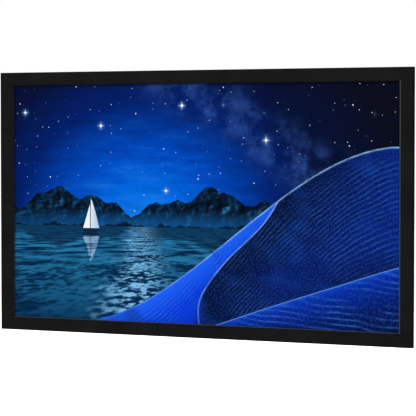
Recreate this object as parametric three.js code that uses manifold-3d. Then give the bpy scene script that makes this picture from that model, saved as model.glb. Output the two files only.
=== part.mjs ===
// Fixed frame projector screen, 110 inch class, 16:9, as it hangs on a wall.
// Millimetres. X runs to the right, Y into the wall and Z up. The origin is the centre of the whole part.

import * as THREE from 'three';
import { mergeVertices } from 'three/addons/utils/BufferGeometryUtils.js';
import Module from 'manifold-3d';

const wasm = await Module();
wasm.setup();

// Picture and frame
const viewWidth = 2435;
const viewHeight = 1370;
const borderWidth = 77;
const frameDepth = 34;
const bevelWidth = 8.5;
const bevelDepth = 5;
const edgeRadius = 1.5;
const screenDepth = 28;
const wallStandoff = 9;

// Clearances
const fit = 0.3;
const mitreGap = 0.15;

// Velvet wrap
const velvetThickness = 0.8;
const glueLine = 0.3;

// Aluminium section
const railWall = 2;
const channelWidth = 41;
const rearLip = 9;
const slotDepth = 8;
const hookPocket = 6;

// Screen sheet and its tension rods
const sheetThickness = 0.5;
const rodRadius = 2;
const rodSetback = 12.5;
const hemEnd = 72;
const rodEnd = 70;

// Tension clips
const clipWidth = 24;
const clipWall = 1.8;
const clipCountLong = 8;
const clipCountShort = 4;
const gripEnd = 70;
const notchMargin = 2;

// Corner brackets and splice bars
const joinerThickness = 5;
const cornerArm = 130;
const spliceLength = 300;
const setScrewRadius = 3;
const setScrewProud = 1;
const socketRadius = 1.7;
const socketDepth = 3;
const setScrewPitch = 50;
const setScrewMargin = 18;

// Support bar and its clamps
const supportWidth = 30;
const supportThickness = 6;
const supportWall = 1.5;
const supportOverlap = 24;
const clampSteel = 1.5;
const clampHeight = 16;
const clampFoot = 16;
const clampScrewRadius = 3.5;
const clampScrewHead = 2;

// Wall brackets
const bracketSteel = 3;
const bracketWidth = 70;
const bracketPlate = 45;
const bracketRise = 7;
const bracketSpacing = 1400;
const wallHoleRadius = 2.75;
const countersinkRadius = 5.5;
const wallHolePitch = 40;

// Picture, in ink fields laid one over another
const inkLayer = 0.2;
const horizonShare = 0.4;
const ridgeRise = 150;
const ridgeRoll = 55;
const ridgeRollCount = 2.5;
const ridgeRollStart = 1;
const ridgeHump = 25;
const ridgeHumpCount = 7;
const ridgeCrag = 14;
const ridgeCragCount = 13;
const ridgePointCount = 36;
const glowPlace = -350;
const glowWidth = 1500;
const glowRise = 620;
const slopeTop = 330;
const slopeFoot = -800;
const slopePointCount = 28;
const boatPlace = -700;
const boatLength = 120;
const boatHull = 18;
const boatRake = 20;
const boatMast = 170;

// Sizes that follow
const frameWidth = viewWidth + 2 * borderWidth;
const frameHeight = viewHeight + 2 * borderWidth;
const wallDepth = frameDepth + wallStandoff;
const skin = velvetThickness + glueLine;
const frontInside = skin + railWall;
const backInside = frameDepth - railWall;
const channelStart = skin + railWall;
const channelEnd = channelStart + channelWidth;
const webEnd = channelEnd + railWall;
const beadEnd = webEnd + hookPocket + railWall;
const slotStart = channelStart + rearLip;
const slotEnd = channelEnd - rearLip;
const slotMiddle = (slotStart + slotEnd) / 2;
const slotFloor = backInside - slotDepth;
const lipEnd = screenDepth - fit;
const rodInset = borderWidth - rodSetback;
const boreRadius = rodRadius + fit;
const hemRadius = boreRadius + sheetThickness;
const rodDepth = screenDepth + hemRadius;
const gripRadius = boreRadius + clipWall;
const beadTip = rodDepth - boreRadius + fit;
const joinerBack = backInside - fit;

// A depth behind the frame's front face, as a Y coordinate
function depthToY(depth) {
  return depth - wallDepth / 2;
}

function material(color, roughness, metalness) {
  return new THREE.MeshStandardMaterial({ color, roughness, metalness });
}

const velvetBlack = () => material('#0b0b0c', 0.95, 0);
const anodised = () => material('#1c1d1f', 0.45, 0.9);
const zincSteel = () => material('#a9adb1', 0.4, 0.9);
const blackSteel = () => material('#1a1a1b', 0.5, 0.6);
const blackPlastic = () => material('#141415', 0.55, 0);
const glassFibre = () => material('#d8d6cc', 0.5, 0);
const sheetBacking = () => material('#121214', 0.8, 0);

function ink(color) {
  return () => material(color, 0.7, 0);
}

function polygon(points) {
  return new THREE.Shape(points.map(([x, y]) => new THREE.Vector2(x, y)));
}

function rectangle(left, bottom, right, top) {
  return polygon([[left, bottom], [right, bottom], [right, top], [left, top]]);
}

function circle(x, y, radius) {
  return new THREE.Shape().absarc(x, y, radius, 0, 2 * Math.PI, false);
}

function ring(x, y, radius, bore) {
  const shape = circle(x, y, radius);
  shape.holes.push(circle(x, y, bore));
  return shape;
}

// A bar along X. Its section is drawn with the inset from the frame's outer edge across and the depth up.
// Where it starts and ends may depend on the inset, which gives a mitre.
function bar(section, outerEdge, startAt, endAt, curveSegments = 6) {
  const settings = { depth: 1, steps: 1, bevelEnabled: false, curveSegments };
  const geometry = new THREE.ExtrudeGeometry(section, settings);
  const place = geometry.attributes.position;
  for (let i = 0; i < place.count; i += 1) {
    const inset = place.getX(i);
    const x = THREE.MathUtils.lerp(startAt(inset), endAt(inset), place.getZ(i));
    place.setXYZ(i, x, depthToY(place.getY(i)), outerEdge - inset);
  }
  geometry.computeVertexNormals();
  return geometry;
}

function straightBar(section, outerEdge, start, end, curveSegments) {
  return bar(section, outerEdge, () => start, () => end, curveSegments);
}

// A flat plate drawn in X and Z, with its front face at a depth
function plate(shape, frontDepth, thickness, curveSegments = 12) {
  const settings = { depth: thickness, steps: 1, bevelEnabled: false, curveSegments };
  const geometry = new THREE.ExtrudeGeometry(shape, settings);
  geometry.rotateX(Math.PI / 2);
  geometry.translate(0, depthToY(frontDepth + thickness), 0);
  return geometry;
}

// A post along Z, with its section drawn in X and depth
function post(section, bottom, top) {
  const geometry = new THREE.ExtrudeGeometry(section, { depth: top - bottom, steps: 1, bevelEnabled: false });
  geometry.translate(0, depthToY(0), bottom);
  return geometry;
}

// A round pin along the depth
function pin(radius, frontDepth, backDepth, x, z, sides = 12) {
  const geometry = new THREE.CylinderGeometry(radius, radius, backDepth - frontDepth, sides);
  geometry.translate(x, depthToY((frontDepth + backDepth) / 2), z);
  return geometry;
}

function toSolid(geometry) {
  const bare = geometry.clone();
  bare.deleteAttribute('normal');
  bare.deleteAttribute('uv');
  const merged = mergeVertices(bare);
  const vertProperties = new Float32Array(merged.attributes.position.array);
  const triVerts = new Uint32Array(merged.index.array);
  return new wasm.Manifold(new wasm.Mesh({ numProp: 3, vertProperties, triVerts }));
}

function toGeometry(solid) {
  const mesh = solid.getMesh();
  const indexed = new THREE.BufferGeometry();
  indexed.setAttribute('position', new THREE.BufferAttribute(mesh.vertProperties, 3));
  indexed.setIndex(new THREE.BufferAttribute(mesh.triVerts, 1));
  const geometry = indexed.toNonIndexed();
  geometry.computeVertexNormals();
  return geometry;
}

function joined(geometries, cuts = []) {
  let solid = toSolid(geometries[0]);
  for (const geometry of geometries.slice(1)) {
    solid = solid.add(toSolid(geometry));
  }
  for (const cut of cuts) {
    solid = solid.subtract(toSolid(cut));
  }
  return toGeometry(solid);
}

function piece(name, geometry, finish) {
  const mesh = new THREE.Mesh(geometry, finish());
  mesh.name = name;
  return mesh;
}

// The two corners of the bevel, on a line that lies inside the velvet's face by an inset
function bevelCorners(inset) {
  const slant = Math.hypot(bevelWidth, bevelDepth);
  const faceShift = (inset * (slant - bevelWidth)) / bevelDepth;
  const lipShift = (inset * (slant - bevelDepth)) / bevelWidth;
  return [
    [borderWidth - bevelWidth - faceShift, inset],
    [borderWidth - inset, bevelDepth + lipShift],
  ];
}

// Aluminium extrusion: a hollow chamber in front, a slot for brackets behind it, and a bead for the clips
function railSection() {
  const section = polygon([
    [skin, frameDepth],
    [skin, skin],
    ...bevelCorners(skin),
    [borderWidth - skin, lipEnd],
    [borderWidth - skin - railWall, lipEnd],
    ...bevelCorners(skin + railWall).reverse(),
    [webEnd, frontInside],
    [webEnd, backInside],
    [beadEnd - railWall, backInside],
    [beadEnd - railWall, beadTip],
    [beadEnd, beadTip],
    [beadEnd, frameDepth],
    [slotEnd, frameDepth],
    [slotEnd, backInside],
    [channelEnd, backInside],
    [channelEnd, slotFloor],
    [channelStart, slotFloor],
    [channelStart, backInside],
    [slotStart, backInside],
    [slotStart, frameDepth],
  ]);
  section.holes.push(rectangle(channelStart, frontInside, channelEnd, slotFloor - railWall));
  return section;
}

// Velvet glued over the outer side, the face, the bevel and the inner lip
function velvetSection() {
  const [faceEdge, lipEdge] = bevelCorners(velvetThickness);
  const section = new THREE.Shape();
  section.moveTo(0, frameDepth);
  section.lineTo(0, edgeRadius);
  section.absarc(edgeRadius, edgeRadius, edgeRadius, Math.PI, 1.5 * Math.PI, false);
  section.lineTo(borderWidth - bevelWidth, 0);
  section.lineTo(borderWidth, bevelDepth);
  section.lineTo(borderWidth, lipEnd);
  section.lineTo(borderWidth - velvetThickness, lipEnd);
  section.lineTo(...lipEdge);
  section.lineTo(...faceEdge);
  section.lineTo(edgeRadius, velvetThickness);
  section.absarc(edgeRadius, edgeRadius, edgeRadius - velvetThickness, 1.5 * Math.PI, Math.PI, true);
  section.lineTo(velvetThickness, frameDepth);
  return section;
}

// Moulded clip: one end hooks behind the rail's bead, the other grips the rod from the picture's side
function clipSection() {
  const hookSide = beadEnd - railWall - fit;
  const gripAngle = THREE.MathUtils.degToRad(gripEnd);
  const section = new THREE.Shape();
  section.moveTo(hookSide - clipWall, rodDepth - gripRadius);
  section.lineTo(hookSide - clipWall, backInside - fit);
  section.lineTo(hookSide, backInside - fit);
  section.lineTo(hookSide, rodDepth - boreRadius);
  section.lineTo(rodInset, rodDepth - boreRadius);
  section.absarc(rodInset, rodDepth, boreRadius, -Math.PI / 2, gripAngle, false);
  section.absarc(rodInset, rodDepth, gripRadius, gripAngle, -Math.PI / 2, true);
  return section;
}

// The places of the clips along one side, evenly spread and clear of the middle
function clipPlaces(length, count) {
  const span = length - 2 * borderWidth;
  return Array.from({ length: count }, (_, i) => span * ((i + 0.5) / count - 0.5));
}

// A hex socket set screw through a bracket, from the slot's floor to just behind the bracket
function setScrew(x, z) {
  const back = joinerBack + setScrewProud;
  return {
    body: pin(setScrewRadius, slotFloor + fit, back, x, z),
    socket: pin(socketRadius, back - socketDepth, back + fit, x, z, 6),
  };
}

function joiner(geometry, screwPlaces) {
  const screws = screwPlaces.map(([x, z]) => setScrew(x, z));
  return joined([geometry, ...screws.map((screw) => screw.body)], screws.map((screw) => screw.socket));
}

// Steel bar in the rear slot that joins the two halves of a long rail
function spliceBar(outerEdge) {
  const front = joinerBack - joinerThickness;
  const section = rectangle(channelStart + fit, front, channelEnd - fit, joinerBack);
  const geometry = straightBar(section, outerEdge, -spliceLength / 2, spliceLength / 2);
  const outerScrew = spliceLength / 2 - setScrewMargin;
  const places = [outerScrew, outerScrew - setScrewPitch].flatMap((x) => [
    [x, outerEdge - slotMiddle],
    [-x, outerEdge - slotMiddle],
  ]);
  return joiner(geometry, places);
}

// Steel L in the rear slots of two rails, drawn from the frame's outer corner at top right
function cornerBracket() {
  const near = -(channelStart + fit);
  const far = -(channelEnd - fit);
  const shape = polygon([
    [near, near],
    [near, -cornerArm],
    [far, -cornerArm],
    [far, far],
    [-cornerArm, far],
    [-cornerArm, near],
  ]);
  const geometry = plate(shape, joinerBack - joinerThickness, joinerThickness);
  const outerScrew = setScrewMargin - cornerArm;
  const places = [outerScrew, outerScrew + setScrewPitch].flatMap((reach) => [
    [reach, -slotMiddle],
    [-slotMiddle, reach],
  ]);
  return joiner(geometry, places);
}

// One side of the frame, drawn as the top side and turned to its place
function frameSide({ name, length, outerEdge, turn, halves, clipCount }) {
  const side = new THREE.Group();
  side.rotation.y = turn;
  const mitreStart = (inset) => inset - length / 2 + mitreGap;
  const mitreEnd = (inset) => length / 2 - inset - mitreGap;
  const runs = halves
    ? [[halves[0], mitreStart, () => -mitreGap], [halves[1], () => mitreGap, mitreEnd]]
    : [[name, mitreStart, mitreEnd]];
  for (const [runName, start, end] of runs) {
    side.add(piece(`rail_${runName}`, bar(railSection(), outerEdge, start, end), anodised));
    side.add(piece(`velvet_${runName}`, bar(velvetSection(), outerEdge, start, end, 4), velvetBlack));
  }
  const rod = circle(rodInset, rodDepth, rodRadius);
  const rodReach = length / 2 - rodEnd;
  side.add(piece(`tension_rod_${name}`, straightBar(rod, outerEdge, -rodReach, rodReach), glassFibre));
  clipPlaces(length, clipCount).forEach((x, i) => {
    const clip = straightBar(clipSection(), outerEdge, x - clipWidth / 2, x + clipWidth / 2, 5);
    side.add(piece(`tension_clip_${name}_${i + 1}`, clip, blackPlastic));
  });
  return side;
}

// The sheet's sleeve over one rod, and the notches that bare the rod at the clips
function hemSleeve({ length, outerEdge, turn, clipCount }) {
  const sleeveSection = ring(rodInset, rodDepth, hemRadius, boreRadius);
  const sleeveReach = length / 2 - hemEnd;
  const sleeve = straightBar(sleeveSection, outerEdge, -sleeveReach, sleeveReach);
  sleeve.rotateY(turn);
  const notchReach = clipWidth / 2 + notchMargin;
  const notchSection = rectangle(
    rodInset - hemRadius - notchMargin,
    screenDepth - notchMargin,
    rodInset + gripRadius + notchMargin,
    rodDepth + hemRadius + notchMargin,
  );
  const notches = clipPlaces(length, clipCount).map((x) => {
    const notch = straightBar(notchSection, outerEdge, x - notchReach, x + notchReach);
    return notch.rotateY(turn);
  });
  return { sleeve, notches };
}

// One sheet, with its corners cut away so that the sleeves of two sides stay clear of each other
function screenSheet(sides) {
  const halfWidth = frameWidth / 2 - rodInset;
  const halfHeight = frameHeight / 2 - rodInset;
  const cutX = frameWidth / 2 - hemEnd;
  const cutZ = frameHeight / 2 - hemEnd;
  const shape = polygon([
    [-cutX, -halfHeight],
    [cutX, -halfHeight],
    [cutX, -cutZ],
    [halfWidth, -cutZ],
    [halfWidth, cutZ],
    [cutX, cutZ],
    [cutX, halfHeight],
    [-cutX, halfHeight],
    [-cutX, cutZ],
    [-halfWidth, cutZ],
    [-halfWidth, -cutZ],
    [-cutX, -cutZ],
  ]);
  const hems = sides.map(hemSleeve);
  const flat = plate(shape, screenDepth, sheetThickness);
  return joined([flat, ...hems.map((hem) => hem.sleeve)], hems.flatMap((hem) => hem.notches));
}

// Hollow bar behind the sheet, from the top rail to the bottom one
function supportBar() {
  const front = frameDepth + fit;
  const half = supportWidth / 2;
  const section = rectangle(-half, front, half, front + supportThickness);
  const inner = half - supportWall;
  const bore = rectangle(-inner, front + supportWall, inner, front + supportThickness - supportWall);
  section.holes.push(bore);
  const reach = frameHeight / 2 - beadEnd + supportOverlap;
  return post(section, -reach, reach);
}

// Folded steel strap that holds the support bar against a rail's flat back
function supportClamp(outerEdge) {
  const front = frameDepth + fit;
  const inside = supportWidth / 2 + fit;
  const outside = inside + clampSteel;
  const footEnd = outside + clampFoot;
  const bridgeFront = front + supportThickness + fit;
  const half = [
    [footEnd, front],
    [footEnd, front + clampSteel],
    [outside, front + clampSteel],
    [outside, bridgeFront + clampSteel],
  ];
  const innerHalf = [[inside, front], [inside, bridgeFront]];
  const mirrored = (points) => points.map(([x, depth]) => [-x, depth]);
  const section = polygon([
    ...half,
    ...mirrored(half).reverse(),
    ...mirrored(innerHalf),
    ...innerHalf.reverse(),
  ]);
  const middle = outerEdge - (slotEnd + beadEnd) / 2;
  const strap = post(section, middle - clampHeight / 2, middle + clampHeight / 2);
  const screwX = outside + clampFoot / 2;
  const places = [-screwX, screwX];
  const headFront = front + clampSteel / 2;
  const headBack = front + clampSteel + clampScrewHead;
  const socketFloor = headBack - clampScrewHead / 2;
  const heads = places.map((x) => pin(clampScrewRadius, headFront, headBack, x, middle));
  const sockets = places.map((x) => pin(socketRadius, socketFloor, headBack + fit, x, middle, 6));
  return joined([strap, ...heads], sockets);
}

// Pressed steel hook: a plate on the wall, a neck under a rail's rear lip and a tongue that rises inside it
function wallBracket(lipEdgeZ, x, plateGoesUp) {
  const tongueBack = backInside - fit;
  const tongueFront = tongueBack - bracketSteel;
  const plateFront = wallDepth - bracketSteel;
  const neckTop = fit;
  const neckBottom = fit + bracketSteel;
  const tongue = [[neckTop, tongueBack], [-bracketRise, tongueBack], [-bracketRise, tongueFront]];
  const down = [
    [neckBottom, tongueFront],
    [neckBottom, plateFront],
    [neckBottom + bracketPlate, plateFront],
    [neckBottom + bracketPlate, wallDepth],
    [neckTop, wallDepth],
  ];
  const up = [
    [neckBottom, tongueFront],
    [neckBottom, wallDepth],
    [-bracketPlate, wallDepth],
    [-bracketPlate, plateFront],
    [neckTop, plateFront],
  ];
  const section = polygon([...tongue, ...(plateGoesUp ? up : down)]);
  const body = straightBar(section, lipEdgeZ, x - bracketWidth / 2, x + bracketWidth / 2);
  const holeDrop = plateGoesUp ? -bracketPlate / 2 : neckBottom + bracketPlate / 2;
  const sink = plateFront + countersinkRadius - wallHoleRadius;
  const drillProfile = [
    new THREE.Vector2(0, depthToY(plateFront - fit)),
    new THREE.Vector2(countersinkRadius + fit, depthToY(plateFront - fit)),
    new THREE.Vector2(wallHoleRadius, depthToY(sink)),
    new THREE.Vector2(wallHoleRadius, depthToY(wallDepth + fit)),
    new THREE.Vector2(0, depthToY(wallDepth + fit)),
  ];
  const drills = [-wallHolePitch / 2, wallHolePitch / 2].map((offset) => {
    const drill = new THREE.LatheGeometry(drillProfile, 16);
    return drill.translate(x + offset, 0, lipEdgeZ - holeDrop);
  });
  return joined([body], drills);
}

// Picture fields, drawn in X and Z inside the view: night sky, glow, far ridge, lake, near slope and a boat
const pictureRight = viewWidth / 2 - fit;
const pictureTop = viewHeight / 2 - fit;
const horizon = viewHeight * (horizonShare - 0.5);

function glowField() {
  const shape = new THREE.Shape();
  shape.moveTo(glowPlace + glowWidth / 2, horizon);
  shape.absellipse(glowPlace, horizon, glowWidth / 2, glowRise, 0, Math.PI, false);
  return shape;
}

function ridgeField() {
  const crest = Array.from({ length: ridgePointCount + 1 }, (_, i) => {
    const x = pictureRight - (2 * pictureRight * i) / ridgePointCount;
    const turn = (x / viewWidth) * 2 * Math.PI;
    const crags = ridgeHump * Math.sin(ridgeHumpCount * turn) + ridgeCrag * Math.sin(ridgeCragCount * turn);
    const roll = ridgeRoll * Math.sin(ridgeRollCount * turn + ridgeRollStart);
    return [x, horizon + ridgeRise + roll + crags];
  });
  return polygon([[-pictureRight, horizon], [pictureRight, horizon], ...crest]);
}

// A long slope that rises in one smooth sweep from the bottom to the right edge
function slopeField() {
  const foot = [slopeFoot, -pictureTop];
  const crest = Array.from({ length: slopePointCount + 1 }, (_, i) => {
    const share = 1 - i / slopePointCount;
    const x = THREE.MathUtils.lerp(slopeFoot, pictureRight, share);
    return [x, THREE.MathUtils.lerp(-pictureTop, slopeTop, THREE.MathUtils.smoothstep(share, 0, 1))];
  });
  return polygon([foot, [pictureRight, -pictureTop], ...crest.slice(0, -1)]);
}

function boatField() {
  const deck = horizon - boatHull;
  const stern = boatPlace - boatLength / 2;
  const bow = boatPlace + boatLength / 2;
  return polygon([
    [stern + boatRake, deck - boatHull],
    [bow - boatRake, deck - boatHull],
    [bow, deck],
    [boatPlace, deck + boatMast],
    [stern, deck],
  ]);
}

function pictureFields() {
  const fields = [
    ['picture_sky', rectangle(-pictureRight, -pictureTop, pictureRight, pictureTop), 0, '#07124a'],
    ['picture_glow', glowField(), 1, '#1a49b4'],
    ['picture_lake', rectangle(-pictureRight, -pictureTop, pictureRight, horizon), 2, '#1d5f92'],
    ['picture_ridge', ridgeField(), 2, '#0b1a2c'],
    ['picture_slope', slopeField(), 3, '#1522b4'],
    ['picture_boat', boatField(), 3, '#e6edf6'],
  ];
  return fields.map(([name, shape, level, color]) => {
    const geometry = plate(shape, screenDepth - (level + 1) * inkLayer, inkLayer, 24);
    return piece(name, geometry, ink(color));
  });
}

const sides = [
  { name: 'top', turn: 0, halves: ['top_left', 'top_right'] },
  { name: 'right', turn: Math.PI / 2, halves: null },
  { name: 'bottom', turn: Math.PI, halves: ['bottom_right', 'bottom_left'] },
  { name: 'left', turn: 1.5 * Math.PI, halves: null },
].map((side) => ({
  ...side,
  length: side.halves ? frameWidth : frameHeight,
  outerEdge: (side.halves ? frameHeight : frameWidth) / 2,
  clipCount: side.halves ? clipCountLong : clipCountShort,
}));

const corners = [
  { name: 'top_right', x: 1, z: 1, turn: 0 },
  { name: 'bottom_right', x: 1, z: -1, turn: Math.PI / 2 },
  { name: 'bottom_left', x: -1, z: -1, turn: Math.PI },
  { name: 'top_left', x: -1, z: 1, turn: 1.5 * Math.PI },
];

const brackets = [
  { name: 'top_left', x: -1, lipEdgeZ: frameHeight / 2 - slotStart, plateGoesUp: false },
  { name: 'top_right', x: 1, lipEdgeZ: frameHeight / 2 - slotStart, plateGoesUp: false },
  { name: 'bottom_left', x: -1, lipEdgeZ: slotEnd - frameHeight / 2, plateGoesUp: true },
  { name: 'bottom_right', x: 1, lipEdgeZ: slotEnd - frameHeight / 2, plateGoesUp: true },
];

const screen = new THREE.Group();
sides.forEach((side) => screen.add(frameSide(side)));
screen.add(piece('screen_sheet', screenSheet(sides), sheetBacking));
pictureFields().forEach((field) => screen.add(field));

for (const corner of corners) {
  const bracket = piece(`corner_bracket_${corner.name}`, cornerBracket(), zincSteel);
  bracket.rotation.y = corner.turn;
  bracket.position.set((corner.x * frameWidth) / 2, 0, (corner.z * frameHeight) / 2);
  screen.add(bracket);
}

screen.add(piece('splice_bar_top', spliceBar(frameHeight / 2), zincSteel));
const lowerSplice = piece('splice_bar_bottom', spliceBar(frameHeight / 2), zincSteel);
lowerSplice.rotation.y = Math.PI;
screen.add(lowerSplice);

screen.add(piece('support_bar', supportBar(), anodised));
screen.add(piece('support_clamp_top', supportClamp(frameHeight / 2), zincSteel));
const lowerClamp = piece('support_clamp_bottom', supportClamp(frameHeight / 2), zincSteel);
lowerClamp.rotation.y = Math.PI;
screen.add(lowerClamp);

for (const bracket of brackets) {
  const x = (bracket.x * bracketSpacing) / 2;
  const geometry = wallBracket(bracket.lipEdgeZ, x, bracket.plateGoesUp);
  screen.add(piece(`wall_bracket_${bracket.name}`, geometry, blackSteel));
}

export default screen;
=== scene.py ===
# %% [markdown]
# # A fixed frame projector screen
# The real screen is a cloth pulled flat behind a deep frame. The frame is made of aluminium tubes that
# are wrapped in black velvet, so that it swallows stray light and makes the picture look brighter.
# The solid model holds the tubes, brackets, rods and clips at their real size. This lesson dresses it:
# velvet, cloth, picture and metal finishes, one cell after another, all in metres.

# %% Load the solid model
import math

import bmesh
import bpy
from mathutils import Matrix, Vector


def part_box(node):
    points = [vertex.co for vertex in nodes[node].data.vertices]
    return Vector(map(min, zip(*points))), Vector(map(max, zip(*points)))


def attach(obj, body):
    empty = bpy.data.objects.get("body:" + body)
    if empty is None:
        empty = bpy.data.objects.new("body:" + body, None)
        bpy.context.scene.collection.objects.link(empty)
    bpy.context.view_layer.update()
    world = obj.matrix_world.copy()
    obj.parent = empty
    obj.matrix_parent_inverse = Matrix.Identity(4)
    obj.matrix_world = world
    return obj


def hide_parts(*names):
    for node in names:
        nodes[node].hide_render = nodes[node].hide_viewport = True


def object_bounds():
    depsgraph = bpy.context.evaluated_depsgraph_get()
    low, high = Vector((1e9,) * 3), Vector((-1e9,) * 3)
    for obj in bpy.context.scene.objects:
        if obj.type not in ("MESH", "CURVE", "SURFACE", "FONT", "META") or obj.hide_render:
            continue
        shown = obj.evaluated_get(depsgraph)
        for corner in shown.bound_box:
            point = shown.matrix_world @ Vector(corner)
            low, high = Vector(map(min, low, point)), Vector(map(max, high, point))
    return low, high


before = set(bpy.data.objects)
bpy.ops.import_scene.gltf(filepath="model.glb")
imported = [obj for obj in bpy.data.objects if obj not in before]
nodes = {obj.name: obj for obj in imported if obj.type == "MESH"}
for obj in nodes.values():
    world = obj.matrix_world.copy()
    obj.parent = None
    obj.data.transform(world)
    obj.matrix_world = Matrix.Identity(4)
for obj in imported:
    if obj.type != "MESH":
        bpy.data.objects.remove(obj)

cad_low, cad_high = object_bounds()
print("solid model:", len(nodes), "pieces, size", [round(v, 4) for v in cad_high - cad_low])

# %% [markdown]
# ## Sizes
# Every size comes from the solid model's own boxes, so the velvet and the cloth fit it with no measuring.
# The frame's face is the lowest Y, because the screen faces the viewer along -Y and the wall is behind it.
# Sizes typed by hand would look the same, until someone makes the frame larger.

# %% Read the sizes
MM = 0.001

left_low, left_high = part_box("velvet_left")
half_width = cad_high.x
half_height = cad_high.z
face_y = left_low.y
back_y = left_high.y
border = left_high.x - left_low.x
cloth_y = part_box("screen_sheet")[0].y
view_x = half_width - border
view_z = half_height - border
print("border", round(border, 4), "cloth behind the face", round(cloth_y - face_y, 4))

# %% [markdown]
# ## Camera
# The photograph was taken with a long lens, well to the right of the screen and a little above its middle.
# Place, turn and lens were worked out from the frame's four edges, which is surer than trying by eye. A
# level camera needs two turns: it tips down a little, then it swings to the left.

# %% Set up the camera
CAMERA_PLACE = (5.0044, -10.3538, 0.3961)
CAMERA_SWING = 25.5222
CAMERA_TIP = -2.0792
CAMERA_LENS = 175.15

bpy.ops.object.camera_add(location=CAMERA_PLACE)
camera = bpy.context.object
camera.rotation_euler = (math.radians(90 + CAMERA_TIP), 0, math.radians(CAMERA_SWING))
camera.data.lens = CAMERA_LENS
camera.data.sensor_width = 36
camera.data.clip_end = 200
bpy.context.scene.camera = camera
print("camera", round((camera.location - Vector((0, face_y, 0))).length, 2), "m from the screen")

# %% [markdown]
# ## Colours
# Colours are written as screen values from 0 to 255, as a paint program shows them. The renderer works
# in linear light, where half as bright is half the number, so each value goes through the screen's curve.


# %% Turn screen values into colours
def linear(value):
    """The linear light of a screen value. The darkest values follow a straight line."""
    share = value / 255
    return ((share + 0.055) / 1.055) ** 2.4 if share > 0.04 else share / 12.92


def paint(red, green, blue):
    """A linear colour from screen values."""
    return (linear(red), linear(green), linear(blue), 1.0)


print("a screen value of 128 is", round(linear(128), 3), "of full light")

# %% [markdown]
# ## Recipes for materials
# A material is a graph of nodes. It could be wired by hand in the shader editor, but a large graph is
# easier to read as text. A Recipe adds one node with each call and returns the socket to carry on with, so
# that a material below reads like a list of steps.


# %% Make the recipe tool
class Recipe:
    """A material's graph, with a short method for each kind of node."""

    def __init__(self, tree):
        self.tree = tree
        self.tree.nodes.clear()

    def plug(self, value, socket):
        """Joins a socket to an input, or writes a number or colour into it."""
        if isinstance(value, bpy.types.NodeSocket):
            self.tree.links.new(value, socket)
        elif value is not None:
            socket.default_value = value

    def node(self, kind, *values, out=0, **options):
        """Adds a node, sets its options and fills its inputs in order."""
        made = self.tree.nodes.new("ShaderNode" + kind)
        for option, value in options.items():
            setattr(made, option, value)
        for socket, value in zip(made.inputs, values):
            self.plug(value, socket)
        return made.outputs[out] if made.outputs else made

    def math(self, operation, *values):
        return self.node("Math", *values, operation=operation)

    def add(self, first, *others):
        for other in others:
            first = self.math("ADD", first, other)
        return first

    def times(self, first, *others):
        for other in others:
            first = self.math("MULTIPLY", first, other)
        return first

    def minus(self, first, second):
        return self.math("SUBTRACT", first, second)

    def over(self, first, second):
        return self.math("DIVIDE", first, second)

    def size(self, value):
        """A number without its sign."""
        return self.math("ABSOLUTE", value)

    def step(self, value, start, end, low=0.0, high=1.0):
        """Low before start, high past end, and a soft change between them."""
        return self.node("MapRange", value, start, end, low, high, interpolation_type="SMOOTHSTEP")

    def length(self, first, second):
        """The long side of a right angle with two short sides."""
        return self.math("SQRT", self.add(self.times(first, first), self.times(second, second)))

    def mix(self, share, under, over):
        """Lays one colour over another by a share from 0 to 1."""
        made = self.tree.nodes.new("ShaderNodeMix")
        made.data_type = "RGBA"
        self.plug(share, made.inputs[0])
        self.plug(under, made.inputs[6])
        self.plug(over, made.inputs[7])
        return made.outputs[2]

    def ramp(self, value, *stops):
        """A colour that runs through the stops, each a place from 0 to 1 and a screen colour."""
        made = self.tree.nodes.new("ShaderNodeValToRGB")
        self.plug(value, made.inputs[0])
        marks = made.color_ramp.elements
        for mark, (place, *screen) in zip(marks, stops):
            mark.position, mark.color = place, paint(*screen)
        for place, *screen in stops[len(marks):]:
            marks.new(place).color = paint(*screen)
        return made.outputs[0]

    def vector(self, x=0.0, y=0.0, z=0.0):
        return self.node("CombineXYZ", x, y, z)

    def split(self, where):
        """The X, Y and Z of a vector."""
        made = self.tree.nodes.new("ShaderNodeSeparateXYZ")
        self.plug(where, made.inputs[0])
        return made.outputs

    def dot(self, first, second):
        """How far two directions agree: 1 for the same, 0 for a right angle."""
        return self.node("VectorMath", first, second, operation="DOT_PRODUCT", out=1)

    def noise(self, where, scale, detail=2.0, roughness=0.5):
        """Cloudy noise, mostly between 0.3 and 0.7."""
        return self.node("TexNoise", where, None, scale, detail, roughness)

    def place(self, stretch=(1.0, 1.0, 1.0)):
        """The object's own coordinates in metres, stretched along its axes."""
        made = self.tree.nodes.new("ShaderNodeTexCoord")
        return self.node("Mapping", made.outputs["Object"], None, None, stretch)

    def facing(self):
        """Which way the surface is turned, in the object's own space."""
        made = self.tree.nodes.new("ShaderNodeTexCoord")
        return made.outputs["Normal"]

    def bump(self, height, strength, distance):
        """Turns a height into a bumpy normal."""
        made = self.tree.nodes.new("ShaderNodeBump")
        made.inputs["Strength"].default_value = strength
        made.inputs["Distance"].default_value = distance
        self.plug(height, made.inputs["Height"])
        return made.outputs[0]


print("made the tool", Recipe.__name__)


# %% Start and finish a surface
def new_surface(name, **values):
    """A material with one Principled shader and its plain values."""
    material = bpy.data.materials.new(name)
    material.use_nodes = True
    r = Recipe(material.node_tree)
    shader = material.node_tree.nodes.new("ShaderNodeBsdfPrincipled")
    r.node("OutputMaterial", shader.outputs[0])
    for words, value in values.items():
        shader.inputs[words.replace("_", " ")].default_value = value
    return material, r, shader


def finish_surface(r, shader, colour, bumpy, rough=None):
    """Plugs in a colour, a bumpy normal and, where it varies, a roughness."""
    r.plug(colour, shader.inputs["Base Color"])
    r.plug(bumpy, shader.inputs["Normal"])
    r.plug(rough, shader.inputs["Roughness"])


print("made", new_surface.__name__, "and", finish_surface.__name__)

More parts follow.
